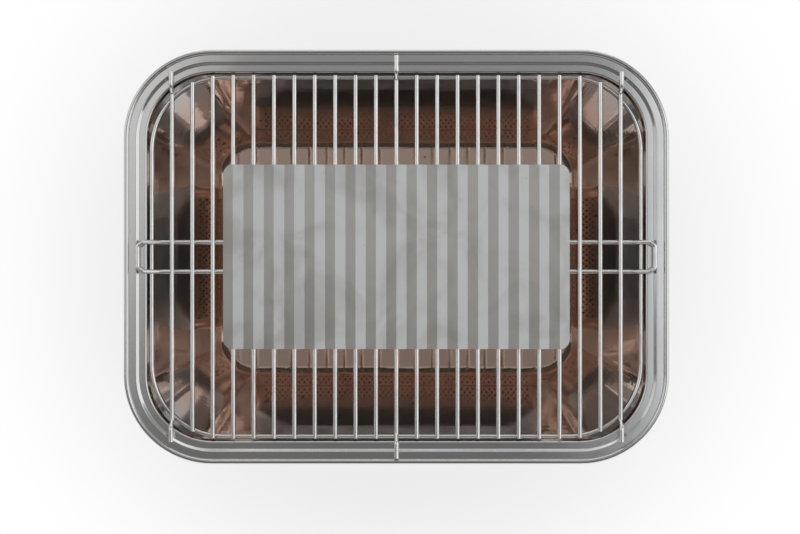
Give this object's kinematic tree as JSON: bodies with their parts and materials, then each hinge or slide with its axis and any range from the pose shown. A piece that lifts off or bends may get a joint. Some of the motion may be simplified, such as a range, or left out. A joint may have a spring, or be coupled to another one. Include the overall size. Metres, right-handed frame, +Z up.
{
  "type": "charcoal grill",
  "caption": "Rectangular table charcoal grill: lift-out steel pan and wire grate with corrugated drip plate over a fan-fed charcoal drawer in a tapered housing.",
  "frame": {"origin": "on the table, under the middle of the rim", "axes": "+X to the right along the long side, +Y to the back, +Z up"},
  "size_m": [0.36, 0.2734, 0.1663],
  "materials": {
    "polished_steel": "polished stainless steel, bright, browned inside by heat",
    "wire_steel": "bright plated round wire",
    "satin_sheet": "satin stainless sheet, matte in the folds",
    "hot_steel": "stainless sheet discoloured by heat",
    "housing_paint": "fine-textured powder coat, near black",
    "black_plastic": "moulded plastic with a fine grain",
    "foot_rubber": "matte rubber",
    "zinc_plate": "zinc-plated steel",
    "cell_jacket": "plain glossy sleeve over a steel can",
    "board_green": "lacquered circuit board",
    "lead_sleeve": "soft insulation on a thin wire",
    "pointer_white": "plain white insert"
  },
  "bodies": {
    "base": {"outer_housing": "housing_paint", "housing_screws": "zinc_plate", "heat_shield": "zinc_plate", "base_tub": "black_plastic", "feet": "foot_rubber", "foot_screws": "zinc_plate", "drawer_rail_front": "zinc_plate", "drawer_rail_back": "zinc_plate", "air_duct": "zinc_plate", "fan_shroud": "black_plastic", "fan_motor": "zinc_plate", "motor_screws": "zinc_plate", "battery_sleeve": "black_plastic", "battery_contacts": "zinc_plate", "speed_control": "black_plastic", "control_board": "board_green", "battery_lead": "lead_sleeve", "motor_lead": "lead_sleeve"},
    "pan": {"inner_pan": "polished_steel"},
    "hood": {"hood_cap": "hot_steel", "hood_corner_posts": "hot_steel", "hood_screen_front": "hot_steel", "hood_screen_back": "hot_steel", "hood_screen_left": "hot_steel", "hood_screen_right": "hot_steel"},
    "grate": {"grate_ring": "wire_steel", "short_bars": "wire_steel", "long_bars": "wire_steel", "loop_wire": "wire_steel"},
    "plate": {"drip_plate": "satin_sheet"},
    "drawer": {"drawer_tray": "hot_steel", "drawer_runners": "zinc_plate", "drawer_front": "housing_paint", "drawer_handle": "black_plastic", "handle_posts": "zinc_plate", "charcoal_basket": "hot_steel", "fire_grate": "hot_steel", "ignition_tray": "hot_steel"},
    "fan": {"impeller": "black_plastic", "fan_shaft": "zinc_plate"},
    "knob": {"speed_knob": "black_plastic", "knob_pointer": "pointer_white", "control_shaft": "zinc_plate"},
    "cell_drawer": {"battery_tray": "black_plastic", "battery_tray_front": "black_plastic", "battery_cells": "cell_jacket"}
  },
  "joints": [
    {"name": "pan_lift", "type": "slide", "parent": "base", "child": "pan", "axis": [0, 0, 1], "range_m": [0, 0.12]},
    {"name": "hood_lift", "type": "slide", "parent": "pan", "child": "hood", "axis": [0, 0, 1], "range_m": [0, 0.03]},
    {"name": "grate_lift", "type": "slide", "parent": "pan", "child": "grate", "axis": [0, 0, 1], "range_m": [0, 0.08]},
    {"name": "plate_lift", "type": "slide", "parent": "grate", "child": "plate", "axis": [0, 0, 1], "range_m": [0, 0.05]},
    {"name": "drawer_slide", "type": "slide", "parent": "base", "child": "drawer", "axis": [1, 0, 0], "range_m": [0, 0.19]},
    {"name": "fan_spin", "type": "hinge", "parent": "base", "child": "fan", "pos_m": [0, 0, 0.03], "axis": [0, 0, 1], "continuous": true},
    {"name": "knob_turn", "type": "hinge", "parent": "base", "child": "knob", "pos_m": [0.07, -0.097, 0.025], "axis": [0, -1, 0], "range_deg": [0, 270]},
    {"name": "cell_drawer_slide", "type": "slide", "parent": "base", "child": "cell_drawer", "axis": [-1, 0, 0], "range_m": [0, 0.065]}
  ]
}
